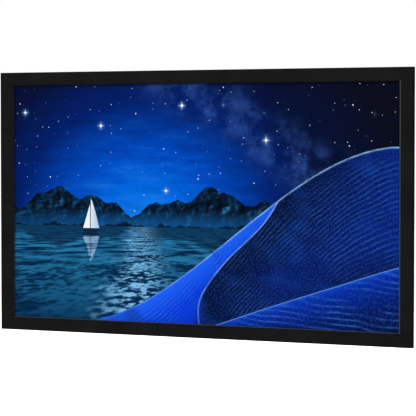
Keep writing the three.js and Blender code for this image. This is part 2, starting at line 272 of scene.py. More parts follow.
# %% [markdown]
# ## Light and floor
# A product photograph has one large soft lamp high on the left, a weaker one on the right and pale
# surroundings. A third lamp behind shows the back. The background is pure white for the camera only:
# Light Path tells the world's shader which rays come from the camera, so the white adds no light to the
# black frame. The floor is a pale plane far below. It keeps the screen's shadow, and further out it turns
# white like the background, so no horizon shows.

# %% Make the world
WORLD_LEVEL = 0.17
WHITE = (1, 1, 1, 1)

bpy.context.scene.view_settings.view_transform = "Standard"


def seen_directly(r):
    """1 for rays that show the background: from the camera, in gloss and through glass."""
    path = r.tree.nodes.new("ShaderNodeLightPath")
    seen = r.math("MAXIMUM", path.outputs["Is Camera Ray"], path.outputs["Is Glossy Ray"])
    return r.math("MAXIMUM", seen, path.outputs["Is Transmission Ray"])


def make_world():
    world = bpy.data.worlds.new("pale_room")
    bpy.context.scene.world = world
    world.use_nodes = True
    r = Recipe(world.node_tree)
    room = r.node("Background", WHITE, WORLD_LEVEL)
    background = r.node("Background", WHITE, 1.0)
    r.node("OutputWorld", r.node("MixShader", seen_directly(r), room, background))


make_world()
print("world:", bpy.context.scene.world.name)


# %% Set up the lamps
def make_lamp(name, place, size, power):
    """A square soft lamp that points at the screen's middle."""
    bpy.ops.object.light_add(type="AREA", location=place)
    lamp = bpy.context.object
    lamp.name = name
    lamp.rotation_euler = (-Vector(place)).to_track_quat("-Z", "Y").to_euler()
    lamp.data.size = size
    lamp.data.energy = power
    lamp.visible_camera = False


make_lamp("key_lamp", (-4.6, -10.5, 4.5), 5.0, 615)
make_lamp("fill_lamp", (5.6, -10.0, 3.0), 5.0, 500)
make_lamp("back_lamp", (-2.0, 10.0, 5.0), 7.0, 960)

# %% Lay the floor
FLOOR_DROP = 1.6
FLOOR_SIZE = 60
FLOOR_GLOW = 0.6
FLOOR_NEAR = 3.0
FLOOR_FAR = 8.0


def make_floor():
    bpy.ops.mesh.primitive_plane_add(size=FLOOR_SIZE, location=(0, 0, -FLOOR_DROP))
    floor = bpy.context.object
    floor.name = "floor"
    bpy.ops.object.transform_apply(location=True)
    material, r, shader = new_surface("pale_floor", Roughness=0.9, Base_Color=paint(236, 236, 236))
    x, y, _ = r.split(r.place())
    level = r.step(r.length(x, y), FLOOR_NEAR, FLOOR_FAR, FLOOR_GLOW, 1.0)
    glow = r.node("Emission", None, r.times(seen_directly(r), level))
    both = r.node("AddShader", shader.outputs[0], glow)
    output = r.tree.get_output_node("ALL")
    r.plug(both, output.inputs[0])
    floor.data.materials.append(material)


make_floor()
print("the floor lies", FLOOR_DROP, "m below the screen's middle")

# %% [markdown]
# ## Velvet
# Velvet is a cloth with a short pile that swallows nearly all light. Its colour holds a painted highlight:
# a face that is turned up or to the left, the side of the key lamp, gets a grey colour in place of black.
# That is the thin line at the picture's right and lower edge, where the frame has its bevel. At the lower
# edge the painted highlight lies only on the inner part of the bevel, next to its fold, and on the lip
# behind it, which is turned up most and is painted palest. At the sides the lips get a little painted
# light, which stands in for light spilled from the bright picture. Hair by hair the pile would be millions
# of strands. A little sheen, a fine bump and broad soft patches where a hand has brushed it look the same
# from a step away, and the object's own normal tells how a face is turned.

# %% Make the velvet
PAINTED_LIGHT_FROM = (-0.8, 0.0, 0.6)
FOLD_START = 0.5 * MM
FOLD_END = 2 * MM
PILE_SCALE = 700
PILE_DEPTH = 0.5 * MM
PILE_BLACK = paint(15, 15, 16)
PILE_BRUSHED = paint(33, 33, 33)
PAINTED_HIGHLIGHT_GREY = paint(65, 65, 65)
PAINTED_HIGHLIGHT_PALEST = paint(84, 84, 85)
PAINTED_SPILL_LIGHT = paint(44, 44, 45)


def make_velvet():
    material, r, shader = new_surface(
        "black_velvet", Roughness=0.95, Specular_IOR_Level=0.0, Sheen_Weight=0.03, Sheen_Roughness=0.3
    )
    where, facing = r.place(), r.facing()
    pile = r.noise(where, PILE_SCALE, 3, 0.65)
    brushed = r.noise(where, 5, 4, 0.6)
    shade = r.add(r.times(pile, 0.8), r.times(brushed, 0.2))
    colour = r.mix(r.step(shade, 0.36, 0.64), PILE_BLACK, PILE_BRUSHED)
    # Painted highlight: faces turned up or to the left get a grey colour, and the faces turned most get
    # the palest grey.
    turned = r.dot(facing, PAINTED_LIGHT_FROM)
    painted_highlight_share = r.minus(r.step(turned, 0.12, 0.28), r.step(turned, 0.65, 0.75, 0.0, 0.7))
    _, _, z = r.split(where)
    above_fold = r.step(z, -view_z - FOLD_END, -view_z - FOLD_START)
    pale = r.mix(r.step(turned, 0.45, 0.58), PAINTED_HIGHLIGHT_GREY, PAINTED_HIGHLIGHT_PALEST)
    colour = r.mix(r.times(painted_highlight_share, above_fold), colour, pale)
    # Painted light on the inner side lips, in place of light spilled from the bright picture.
    painted_spill_share = r.step(r.dot(facing, where), -0.9, -1.1)
    colour = r.mix(painted_spill_share, colour, PAINTED_SPILL_LIGHT)
    finish_surface(r, shader, colour, r.bump(pile, 0.6, PILE_DEPTH))
    return material


velvet = make_velvet()
print("made", velvet.name)

# %% [markdown]
# ## Tools for modelling
# Operators act on whatever is selected, so each step first clears the selection and then picks edges or
# faces by their place. A piece is finished by applying its modifiers and its place, which leaves the
# object at the origin with its shape in its mesh.

# %% Pick, pull and cut
NEAR = 0.02 * MM


def start_plane(name, width, height, centre):
    """An upright rectangle that faces the viewer, in edit mode."""
    bpy.ops.object.select_all(action="DESELECT")
    bpy.ops.mesh.primitive_plane_add(size=1, location=centre, rotation=(math.radians(90), 0, 0))
    piece = bpy.context.object
    piece.name = name
    piece.scale = (width, height, 1)
    bpy.ops.object.transform_apply(location=True, rotation=True, scale=True)
    bpy.ops.object.mode_set(mode="EDIT")
    return piece


def pick(kind, passes):
    """Selects only the edges, or only the faces, that pass a test."""
    bpy.ops.mesh.select_mode(type=kind)
    bpy.ops.mesh.select_all(action="DESELECT")
    mesh = bpy.context.object.data
    shape = bmesh.from_edit_mesh(mesh)
    for part in shape.edges if kind == "EDGE" else shape.faces:
        part.select_set(passes(part))
    bmesh.update_edit_mesh(mesh)


def pick_edges(wanted):
    """Picks the edges whose two ends are both at a wanted place."""
    pick("EDGE", lambda edge: all(wanted(corner.co) for corner in edge.verts))


def pull(x=0.0, y=0.0, z=0.0):
    """Extrudes the selected edges by a distance."""
    bpy.ops.mesh.extrude_region_move(TRANSFORM_OT_translate={"value": (x, y, z)})


def cut(place, direction, clear=False):
    """Cuts the whole mesh with a plane, and can clear what lies on the direction's side."""
    bpy.ops.mesh.select_all(action="SELECT")
    bpy.ops.mesh.bisect(plane_co=place, plane_no=direction, clear_outer=clear)


print("edges and faces are picked to within", NEAR, "m")

# %% Thicken and smooth
SMOOTH_ANGLE = 40


def give_thickness(piece, thickness, second_material=0):
    """Thickens a sheet behind its outer face, and applies it."""
    wall = piece.modifiers.new("wall", "SOLIDIFY")
    wall.thickness = thickness
    wall.offset = -1
    wall.use_even_offset = True
    wall.material_offset = second_material
    wall.material_offset_rim = second_material
    bpy.ops.object.modifier_apply(modifier=wall.name)


def smooth():
    """Shades the active piece smooth, and keeps the edges that are sharper than the angle."""
    bpy.ops.object.shade_smooth_by_angle(angle=math.radians(SMOOTH_ANGLE))


print("edges sharper than", SMOOTH_ANGLE, "degrees stay sharp")

# %% [markdown]
# ## Velvet wraps
# The velvet is glued round each tube: from the back edge over the outer side, across the face, down the
# small bevel and along the inner lip to the cloth. It could be cut from the tube's own skin, but a strip
# is easy to extrude from one rectangle, edge by edge, and has only the faces it needs. The ends are cut at
# 45 degrees, the long corners are rounded, because velvet never folds sharply, and Solidify gives the
# cloth its thickness.

# %% Model one wrap
WRAP_THICKNESS = 0.8 * MM
CORNER_ROUNDING = 1.4 * MM
BEVEL_ROUNDING = 0.9 * MM
BEVEL_WIDTH = 8.5 * MM
BEVEL_DEPTH = 5 * MM
LIP_GAP = 0.3 * MM
SEAM = 0.15 * MM

lip_y = cloth_y - LIP_GAP


def velvet_wrap(name, length, edge_z, start_square, end_square):
    """One wrap, drawn along the top of the frame."""
    face_width = border - BEVEL_WIDTH
    piece = start_plane(name, length, face_width, (0, face_y, edge_z - face_width / 2))
    pick_edges(lambda p: abs(p.z - (edge_z - face_width)) < NEAR)
    pull(y=BEVEL_DEPTH, z=-BEVEL_WIDTH)
    pull(y=lip_y - face_y - BEVEL_DEPTH)
    pick_edges(lambda p: abs(p.z - edge_z) < NEAR)
    pull(y=back_y - face_y)
    reach = length / 2 - SEAM
    for side, square in ((-1, start_square), (1, end_square)):
        if square:
            cut((-side * SEAM, 0, 0), (side, 0, 0), clear=True)
        else:
            cut((side * reach, 0, edge_z), (side, 0, -1), clear=True)
    pick_edges(lambda p: abs(p.z - edge_z) < NEAR and abs(p.y - face_y) < NEAR)
    bpy.ops.mesh.bevel(offset=CORNER_ROUNDING, segments=4, affect="EDGES")
    inner_z = edge_z - border
    on_bevel = (Vector((face_y, inner_z + BEVEL_WIDTH)), Vector((face_y + BEVEL_DEPTH, inner_z)))
    for corner in on_bevel:
        pick_edges(lambda p: (Vector((p.y, p.z)) - corner).length < NEAR)
        bpy.ops.mesh.bevel(offset=BEVEL_ROUNDING, segments=3, affect="EDGES")
    bpy.ops.object.mode_set(mode="OBJECT")
    return piece


print("the bevel is", BEVEL_WIDTH, "m wide and", BEVEL_DEPTH, "m deep")

# %% Wrap all six tubes
WRAPS = [
    ("velvet_top_left", 0, False, True),
    ("velvet_top_right", 0, True, False),
    ("velvet_right", 90, False, False),
    ("velvet_bottom_right", 180, False, True),
    ("velvet_bottom_left", 180, True, False),
    ("velvet_left", 270, False, False),
]


def finish_wrap(piece, node, turn):
    """Turns a wrap to its side, gives it thickness and its place among the pieces."""
    piece.data.materials.append(velvet)
    give_thickness(piece, WRAP_THICKNESS)
    piece.rotation_euler = (0, math.radians(turn), 0)
    bpy.ops.object.transform_apply(rotation=True)
    smooth()
    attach(piece, "root")
    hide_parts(node)
    print(piece.name, len(piece.data.polygons), "faces")


for node, turn, start_square, end_square in WRAPS:
    upright = turn in (90, 270)
    length = 2 * (half_height if upright else half_width)
    edge = half_width if upright else half_height
    wrap = velvet_wrap(node.replace("velvet", "velvet_wrap"), length, edge, start_square, end_square)
    finish_wrap(wrap, node, turn)

# %% [markdown]
# ## Screen cloth
# The cloth is one sheet of coated fabric, matt white in front and black behind, so that no light comes
# through. Each side ends in a sleeve over a glass fibre rod, and the sleeve is notched where a clip
# grips the rod. One flat rectangle is cut along the notches, and the corners and notches are deleted. It
# is pulled flat all over, so there is no fold or sag for a cloth simulation to find.

# %% Plan the cloth's cuts
NOTCH_MARGIN = 2 * MM
CLIP_GRIP = 4.1 * MM
CORNER_CUT = 72 * MM

rod_low, rod_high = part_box("tension_rod_top")
side_rod_low, side_rod_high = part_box("tension_rod_right")
rod_y = (rod_low.y + rod_high.y) / 2
rod_reach_z = (rod_low.z + rod_high.z) / 2
rod_reach_x = (side_rod_low.x + side_rod_high.x) / 2
corner_cut_x = half_width - CORNER_CUT
corner_cut_z = half_height - CORNER_CUT
notch_x = rod_reach_x - CLIP_GRIP - NOTCH_MARGIN
notch_z = rod_reach_z - CLIP_GRIP - NOTCH_MARGIN


def notch_spans(side, axis):
    """Where the clips of one side are, with a margin, along an axis."""
    spans = []
    for name in sorted(nodes):
        if name.startswith(f"tension_clip_{side}_"):
            low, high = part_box(name)
            spans.append((low[axis] - NOTCH_MARGIN, high[axis] + NOTCH_MARGIN))
    return spans


def inside_any(value, spans):
    return any(low - NEAR < value < high + NEAR for low, high in spans)


print("notches:", len(notch_spans("top", 0)), "at the top,", len(notch_spans("right", 2)), "at a side")

# %% [markdown]
# ## Sleeves
# Spin rolls an edge of the cloth round its rod, as the maker folds it over. It turns clockwise as seen
# from the end that its axis points to, so the axis at the top points right. A flap of each sleeve is
# welded flat on the back, with mitred ends, so that two flaps don't meet at a corner. A tube laid behind
# the cloth would be simpler, but the real sleeve and sheet are one piece.

# %% Roll the sleeves
CLOTH_THICKNESS = 0.5 * MM
SLEEVE_TURN = 290
SLEEVE_STEPS = 14
FLAP_SLOPE = 5 * MM
FLAP_WIDTH = 15 * MM
FLAP_LIFT = 2.2 * CLOTH_THICKNESS


def mitre_flap(end, along, run):
    """Moves the two ends of the picked edges inwards."""
    shape = bmesh.from_edit_mesh(bpy.context.object.data)
    for corner in [v for v in shape.verts if v.select and abs(v.co[along]) > end - NEAR]:
        corner.co[along] -= math.copysign(run, corner.co[along])
    bmesh.update_edit_mesh(bpy.context.object.data)


def roll_sleeve(across, sign, reach, end):
    """Rolls one side of the cloth round its rod and lays the flap on the back."""
    pick_edges(lambda p: abs(p[across] - sign * reach) < NEAR and abs(p.y - cloth_y) < NEAR)
    outward = Vector((0, 0, 0))
    outward[across] = sign
    centre = outward * reach + Vector((0, rod_y, 0))
    axis = (outward.z, 0, -outward.x)
    turn = math.radians(SLEEVE_TURN)
    bpy.ops.mesh.spin(steps=SLEEVE_STEPS, angle=turn, center=centre, axis=axis, use_normal_flip=False)
    shape = bmesh.from_edit_mesh(bpy.context.object.data)
    end_y = next(v.co.y for v in shape.verts if v.select)
    along = 2 - across
    pull(*(outward * -FLAP_SLOPE + Vector((0, cloth_y + FLAP_LIFT - end_y, 0))))
    mitre_flap(end, along, FLAP_SLOPE)
    pull(*(outward * -FLAP_WIDTH))
    mitre_flap(end - FLAP_SLOPE, along, FLAP_WIDTH)


print("a sleeve goes", SLEEVE_TURN, "degrees round its rod")


# %% Model the cloth
def turn_to_front():
    """Turns all faces one way, the flat front to the viewer, because Spin turned some of them."""
    bpy.ops.mesh.select_all(action="SELECT")
    bpy.ops.mesh.remove_doubles(threshold=NEAR)
    bpy.ops.mesh.normals_make_consistent(inside=False)
    shape = bmesh.from_edit_mesh(bpy.context.object.data)
    if max(shape.faces, key=lambda face: face.calc_area()).normal.y > 0:
        bpy.ops.mesh.flip_normals()


def model_cloth():
    """The sheet's front face, with its sleeves."""
    cloth = start_plane("screen_cloth", 2 * rod_reach_x, 2 * rod_reach_z, (0, cloth_y, 0))
    top_notches = notch_spans("top", 0)
    side_notches = notch_spans("right", 2)
    lines_x = [corner_cut_x, notch_x] + [x for span in top_notches for x in span if x > 0]
    lines_z = [corner_cut_z, notch_z] + [z for span in side_notches for z in span if z > 0]
    for x in lines_x:
        cut((x, 0, 0), (1, 0, 0))
        cut((-x, 0, 0), (1, 0, 0))
    for z in lines_z:
        cut((0, 0, z), (0, 0, 1))
        cut((0, 0, -z), (0, 0, 1))

    def is_waste(p):
        in_corner = abs(p.x) > corner_cut_x and abs(p.z) > corner_cut_z
        in_long_notch = abs(p.z) > notch_z and inside_any(p.x, top_notches)
        in_side_notch = abs(p.x) > notch_x and inside_any(p.z, side_notches)
        return in_corner or in_long_notch or in_side_notch

    pick("FACE", lambda face: is_waste(face.calc_center_median()))
    bpy.ops.mesh.delete(type="FACE")
    for sign in (1, -1):
        roll_sleeve(2, sign, rod_reach_z, corner_cut_x)
        roll_sleeve(0, sign, rod_reach_x, corner_cut_z)
    turn_to_front()
    bpy.ops.object.mode_set(mode="OBJECT")
    return cloth


cloth = model_cloth()
print("cloth faces", len(cloth.data.polygons), "size", [round(v, 4) for v in cloth.dimensions])

# %% [markdown]
# ## The picture
# A picture fills the cloth inside the frame: a lake at night below a far ridge, a blue dune at the right,
# a small sailing boat and stars. An image file would be the usual way, but a picture made of nodes stays
# sharp at any distance. Each field is a formula of the cloth's own X and Z in metres, so its edge is where
# a height formula meets Z, and noise gives it its natural detail.

# %% Place the picture's fields
EDGE = 0.002
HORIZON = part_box("picture_lake")[1].z
GLOW_LOW, GLOW_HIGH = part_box("picture_glow")
GLOW_X = (GLOW_LOW.x + GLOW_HIGH.x) / 2


def within(r, limit, value):
    """1 where a value is under its limit and 0 past it, with a soft edge."""
    return r.step(r.minus(limit, value), -EDGE, EDGE)


print("horizon at", round(HORIZON, 3), "m and the glow at", round(GLOW_X, 3), "m")

# %% [markdown]
# ## Night sky
# A sky over a lake at night is brightest low down, where the last light stands behind the ridge. The
# distance from that glow, run through a colour ramp, gives the whole fall from blue to near black. Thin
# clouds are a noise that is squeezed flat, and the band of far stars is noise within a slanted strip.

# %% Paint the sky
SKY_REACH = 1.5
BAND_SLANT = 0.62
BAND_OFFSET = 0.62
BAND_HALF_WIDTH = 0.30


def paint_sky(r, x, z):
    """A sky that is brightest behind the ridge, with a pale band of far stars."""
    reach = r.length(r.times(r.minus(x, GLOW_X), 0.92), r.times(r.minus(z, HORIZON), 1.1))
    colour = r.ramp(
        r.over(reach, SKY_REACH),
        (0.00, 24, 134, 236), (0.15, 2, 106, 226), (0.32, 1, 72, 188),
        (0.52, 4, 33, 108), (0.72, 8, 18, 55), (1.00, 12, 14, 27),
    )
    cloud = r.noise(r.vector(r.times(x, 1.6), r.times(z, 8)), 2.2, 6, 0.6)
    lit_cloud = r.times(r.step(cloud, 0.48, 0.72), r.step(reach, 0.85, 0.15), 0.4)
    colour = r.mix(lit_cloud, colour, paint(40, 128, 222))
    colour = r.mix(r.times(r.step(cloud, 0.52, 0.3), 0.3), colour, paint(7, 18, 54))
    band = r.size(r.add(r.times(x, BAND_SLANT), z, -BAND_OFFSET))
    dust = r.noise(r.vector(x, z), 5.5, 7, 0.62)
    milk = r.times(r.step(band, BAND_HALF_WIDTH, 0.0), r.step(dust, 0.42, 0.68), 0.42)
    return r.mix(milk, colour, paint(62, 104, 190))


print("the sky is defined")

# %% [markdown]
# ## Stars
# Stars lie at random, but never on top of each other. A Voronoi texture cuts the sky into cells with one
# point each and a random colour, which decides how bright the star is, and a power makes most of them
# faint. The few large ones have four short rays and a halo, as a lens draws them. Discs as real meshes
# would need thousands of faces.

# %% Paint the stars
SMALL_STARS = [(0.07, 0.0032, 3.0, 4.0), (0.19, 0.0055, 11.0, 2.4)]
LARGE_SPACING = 0.47
LARGE_SHIFT = 5.0
RAY_LENGTH = 0.034
RAY_HALF_WIDTH = 0.0035
HALO_RADIUS = 0.05
CORE_RADIUS = 0.011
CORE_FLAT = 0.003


def star_cells(r, x, z, spacing, shift):
    """The way from the nearest star in metres, and the star's random number."""
    shifted = r.vector(r.add(r.over(x, spacing), shift), r.over(z, spacing))
    cells = r.tree.nodes.new("ShaderNodeTexVoronoi")
    cells.voronoi_dimensions = "2D"
    r.plug(shifted, cells.inputs["Vector"])
    cells.inputs["Scale"].default_value = 1.0
    offset = r.node("VectorMath", shifted, cells.outputs["Position"], operation="SUBTRACT")
    across, up, _ = r.split(r.node("VectorMath", offset, (spacing,) * 3, operation="MULTIPLY"))
    return across, up, r.node("SeparateColor", cells.outputs["Color"])


def paint_stars(r, x, z):
    """How bright the stars are: many points, and a few with four rays."""
    light = 0.0
    for spacing, radius, shift, rarity in SMALL_STARS:
        dx, dz, luck = star_cells(r, x, z, spacing, shift)
        point = r.step(r.length(dx, dz), radius, radius * 0.25)
        light = r.add(light, r.times(point, r.math("POWER", luck, rarity), 1.5))
    dx, dz, luck = star_cells(r, x, z, LARGE_SPACING, LARGE_SHIFT)
    across, up = r.size(dx), r.size(dz)
    for along, beside in ((across, up), (up, across)):
        ray = r.times(r.step(along, RAY_LENGTH, 0.0), r.step(beside, RAY_HALF_WIDTH, 0.0))
        light = r.add(light, r.times(ray, r.step(luck, 0.25, 0.9)))
    reach = r.length(dx, dz)
    halo = r.times(r.math("POWER", r.step(reach, HALO_RADIUS, 0.0), 3.0), 0.3)
    core = r.add(r.step(reach, CORE_RADIUS, CORE_FLAT), halo)
    return r.add(light, r.times(core, r.step(luck, 0.2, 0.7)))


print("the stars are defined, a large one about every", LARGE_SPACING, "m")

# %% [markdown]
# ## Ridge
# The far ridge is bare rock, dark against the sky, with haze and a line of trees at its foot. Its outline
# is a sum of three waves with finer crags on top. Light and shade on the rock come from one noise less
# the same noise a little further on: it is bright where the ground rises towards the light. A true relief
# would look no different this far away.

# %% Paint the ridge
RIDGE_RISE = 0.150
RIDGE_WAVES = [(2.5, 1.0, 0.055), (7, 0.0, 0.025), (13, 0.0, 0.014)]
CRAG_HEIGHT = 0.09
HAZE_HEIGHT = 0.11
TREE_LOW = 0.012
TREE_SPREAD = 0.026


def ridge_line(r, x):
    """The ridge's height over the picture's width: three waves and fine crags."""
    height = HORIZON + RIDGE_RISE
    for waves, start, size in RIDGE_WAVES:
        angle = r.add(r.times(x, math.pi * waves / view_x), start)
        height = r.add(r.times(r.math("SINE", angle), size), height)
    crags = r.noise(r.vector(r.times(x, 9)), 1.0, 8, 0.62)
    return r.add(height, r.times(r.minus(crags, 0.5), CRAG_HEIGHT))


def relief(r, where, shift, scale, detail, roughness):
    """Light and shade of a rough slope: a noise less the same noise a little further on."""
    moved = r.node("VectorMath", where, shift, operation="ADD")
    return r.minus(r.noise(where, scale, detail, roughness), r.noise(moved, scale, detail, roughness))


def paint_ridge(r, x, z):
    """Dark rock, lit from the glow's side, with haze at its foot."""
    where = r.vector(x, r.times(z, 1.25))
    rock = relief(r, where, (0.02, -0.012, 0.0), 9, 8, 0.66)
    colour = r.ramp(
        r.add(r.times(rock, 2.6), 0.45),
        (0.15, 7, 11, 20), (0.45, 9, 26, 46),
        (0.70, 14, 56, 92), (1.0, 60, 124, 170),
    )
    haze = r.step(r.minus(z, HORIZON), HAZE_HEIGHT, 0.0, 0.0, 0.6)
    near_glow = r.step(r.size(r.minus(x, GLOW_X)), 1.2, 0.1, 0.35, 1.0)
    colour = r.mix(r.times(haze, near_glow), colour, paint(20, 92, 160))
    spires = r.noise(r.vector(r.times(x, 70)), 1.0, 3, 0.7)
    woods = r.noise(r.vector(r.times(x, 5)), 1.0, 3, 0.6)
    tree_height = r.add(TREE_LOW, r.times(r.step(spires, 0.3, 0.7), TREE_SPREAD))
    tops = r.times(r.step(woods, 0.42, 0.62), tree_height)
    trees = within(r, r.add(tops, HORIZON), z)
    return r.mix(r.times(trees, 0.9), colour, paint(7, 20, 36))


print("the ridge rises", RIDGE_RISE, "m above the horizon")

# %% [markdown]
# ## Lake
# Seen from the shore, ripples look long and flat and crowd together towards the horizon. Dividing the
# place by the depth below the horizon squeezes a noise in just that way, so no water surface is needed.
# The ridge's reflection is dark down to a mirrored copy of its outline, and a column of glints widens
# from the glow towards the viewer.

# %% Paint the lake
LAKE_REACH = 0.55
FURTHEST = 0.03
MIRROR_SHARE = 0.62
COLUMN_WIDTH = 0.10


def paint_lake(r, x, z, crest):
    """Rippled water, and the ripples themselves for what is mirrored in it."""
    depth = r.minus(HORIZON, z)
    near = r.add(depth, FURTHEST)
    far_waves = r.noise(r.vector(r.over(r.times(x, 0.55), near), r.over(0.9, near)), 1.6, 5, 0.6)
    wavelets = r.noise(r.vector(r.over(r.times(x, 4.5), near), r.over(6.0, near), 3.0), 1.6, 3, 0.6)
    close = r.step(depth, 0.05, 0.35, 0.0, 0.8)
    ripple = r.add(far_waves, r.times(r.minus(wavelets, 0.5), close))
    sway = r.minus(ripple, 0.5)
    colour = r.ramp(
        r.over(depth, LAKE_REACH),
        (0.00, 34, 122, 184), (0.15, 38, 122, 170),
        (0.45, 32, 108, 152), (1.0, 14, 60, 100),
    )
    colour = r.mix(r.step(ripple, 0.62, 0.38), colour, paint(6, 38, 72))
    mirrored = r.times(r.minus(crest, HORIZON), MIRROR_SHARE)
    in_shade = r.step(r.add(depth, r.times(sway, 0.06)), mirrored, r.add(mirrored, -0.035))
    colour = r.mix(r.times(in_shade, 0.72), colour, paint(9, 30, 56))
    column = r.size(r.add(r.minus(x, GLOW_X), r.times(sway, 0.5)))
    width = r.add(COLUMN_WIDTH, r.times(depth, 0.5))
    sparkle = r.add(r.times(ripple, 0.4), r.times(wavelets, 0.6))
    glint = r.times(r.step(column, width, 0.0), r.step(sparkle, 0.47, 0.59), 0.9)
    return r.mix(glint, colour, paint(132, 196, 240)), ripple


print("the lake is defined")

# %% [markdown]
# ## Sand
# A dune has a soft outline with grains along it, and wind ripples: light and dark lines, close together,
# that follow the slope, meander and break off. A sine of the way across the ripples draws the lines, and
# slow noise bends them and lets them fade in patches. A wave texture would do it too, but its lines
# can't follow the dune's own outline.

# %% Paint sand ripples
GRAIN_HEIGHT = 0.010

SLOPE_LOW, SLOPE_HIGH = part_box("picture_slope")


def dune_line(r, x):
    """The dune's outline: a soft rise from the lower left to the right edge."""
    rise = r.step(x, SLOPE_LOW.x, view_x, -view_z - 0.01, SLOPE_HIGH.z)
    grain = r.noise(r.vector(r.times(x, 16)), 1.0, 6, 0.6)
    return r.add(rise, r.times(r.minus(grain, 0.5), GRAIN_HEIGHT))


def sand_ripples(r, colour, across, x, z, spacing, strength):
    """Wind ripples: light and dark lines that follow the slope and meander a little."""
    meander = r.noise(r.vector(r.times(x, 2.0), r.times(z, 3.0)), 1.5, 3, 0.4)
    patches = r.noise(r.vector(x, r.times(z, 1.6), 7.0), 2.6, 3, 0.55)
    wave = r.math("SINE", r.add(r.times(across, 2 * math.pi / spacing), r.times(meander, 16)))
    broken = r.noise(r.vector(x, z, 3.0), 24)
    visible = r.times(r.step(patches, 0.36, 0.62), r.step(broken, 0.36, 0.6, 0.45, 1.15), strength)
    colour = r.mix(r.times(r.step(wave, 0.2, 1.0), visible), colour, paint(70, 140, 250))
    return r.mix(r.times(r.step(wave, 0.0, -1.0), visible), colour, paint(3, 12, 60))


def coarse_grains(r, colour, x, z, scale, shares, bright, dark):
    """Bright and dark grains, each with its own share."""
    rough = r.noise(r.vector(x, z), scale, 7, 0.75)
    colour = r.mix(r.step(rough, 0.45, 0.75, 0.0, shares[0]), colour, bright)
    return r.mix(r.step(rough, 0.5, 0.25, 0.0, shares[1]), colour, dark)


print("the dune's top is at", round(SLOPE_HIGH.z, 3), "m")

# %% [markdown]
# ## Dunes
# The large dune is lit on its left side and in shade on its right, past a sharp inner crest that winds
# downhill, and its edge against the sky is a thin bright rim. A lower dune lies close by, in front. Each
# is a ramp that runs from the crest down, with soft layers laid over it as a painter would.

# %% Paint the dunes
CREST_X = 0.36
CREST_BEND = 0.15
CREST_WANDER = 0.10
RIM_WIDTH = 0.014
SPINE_WIDTH = 0.009
FAR_RIPPLES = 0.030
NEAR_RIPPLES = 0.036
NEAR_START_X = -0.25
NEAR_END_X = 1.45
NEAR_LOW_Z = -0.74
NEAR_HIGH_Z = -0.30


def inner_crest(r, x, z):
    """How far right of the winding inner crest a place is."""
    wander = r.times(r.minus(r.noise(r.vector(0.0, r.times(z, 2.4)), 1.0, 1), 0.5), CREST_WANDER)
    bend = r.times(r.math("SINE", r.add(r.times(z, 4.6), 0.9)), CREST_BEND)
    return r.minus(x, r.add(CREST_X, bend, wander, r.times(z, 0.35)))


def paint_dune(r, x, z, crest):
    """Blue sand: a lit side, a side in shade past an inner crest, and wind ripples."""
    depth = r.minus(crest, z)
    side = inner_crest(r, x, z)
    softness = r.add(0.003, r.times(r.step(depth, 0.05, 0.75), 0.16))
    shade = r.step(side, r.times(softness, -1.0), softness)
    lit = r.ramp(
        r.over(depth, 0.8),
        (0.0, 28, 98, 248), (0.2, 5, 58, 222),
        (0.55, 4, 38, 182), (1.0, 4, 20, 116),
    )
    dark = r.mix(r.step(side, 0.0, 0.9), paint(4, 10, 46), paint(6, 34, 128))
    dark = r.mix(r.step(depth, 0.35, 0.85), dark, paint(5, 10, 42))
    hollow = relief(r, r.vector(x, r.times(z, 1.8)), (0.07, 0.04, 0.0), 1.9, 2, 0.45)
    colour = r.mix(shade, lit, dark)
    colour = r.mix(r.step(hollow, 0.0, 0.14, 0.0, 0.45), colour, paint(4, 16, 78))
    colour = r.mix(r.step(hollow, 0.0, -0.14, 0.0, 0.12), colour, paint(26, 92, 232))
    strength = r.times(r.step(depth, 0.01, 0.12), r.step(shade, 0.0, 1.0, 0.26, 0.15))
    colour = sand_ripples(r, colour, r.add(depth, r.times(x, 0.25)), x, z, FAR_RIPPLES, strength)
    colour = coarse_grains(r, colour, x, z, 95, (0.25, 0.3), paint(70, 130, 235), paint(3, 12, 56))
    flicker = r.noise(r.vector(r.times(x, 7), r.times(z, 7)), 1.0, 4, 0.6)
    rim_light = r.times(r.step(flicker, 0.3, 0.62, 0.2, 0.85), r.step(x, -0.75, 0.2))
    colour = r.mix(r.times(r.step(depth, RIM_WIDTH, 0.0), rim_light), colour, paint(150, 200, 250))
    spine = r.times(r.step(r.size(side), SPINE_WIDTH, 0.0), r.step(depth, 0.55, 0.05))
    return r.mix(r.times(spine, r.step(flicker, 0.3, 0.6, 0.15, 0.7)), colour, paint(130, 184, 248))


def near_dune(r, x, z):
    """A lower dune close by: how deep a place lies under its outline, and its colour."""
    rise = r.step(x, NEAR_START_X, NEAR_END_X, NEAR_LOW_Z, NEAR_HIGH_Z)
    depth = r.minus(r.add(rise, r.times(r.math("SINE", r.times(x, 5.0)), 0.014)), z)
    colour = r.ramp(
        r.over(depth, 0.36),
        (0.0, 14, 66, 196), (0.12, 6, 42, 158),
        (0.5, 5, 24, 100), (1.0, 6, 13, 52),
    )
    colour = sand_ripples(r, colour, r.minus(r.times(x, 0.42), depth), x, z, NEAR_RIPPLES, 0.26)
    colour = coarse_grains(r, colour, x, z, 70, (0.3, 0.35), paint(60, 120, 225), paint(3, 10, 46))
    return depth, r.mix(r.step(depth, 0.010, 0.0, 0.0, 0.55), colour, paint(110, 168, 240))


print("wind ripples lie", FAR_RIPPLES, "and", NEAR_RIPPLES, "m apart")

# %% [markdown]
# ## Sailing boat
# The boat is small and plain: a dark hull with raked ends, a mainsail behind the mast and a jib before it.
# Each shape is a mask, 1 inside and 0 outside, made of a few soft steps. The same masks, turned over and
# shaken by the ripples, give its reflection, which a picture of the boat alone would not.

# %% Paint the boat
BOAT_HULL = 0.018
BOAT_RAKE = 0.020
BOOM_HEIGHT = 0.006
MAIN_WIDTH = 0.055
JIB_WIDTH = 0.056
JIB_TOP = 0.82
MAST_GAP = 0.005

BOAT_LOW, BOAT_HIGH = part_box("picture_boat")
BOAT_X = (BOAT_LOW.x + BOAT_HIGH.x) / 2


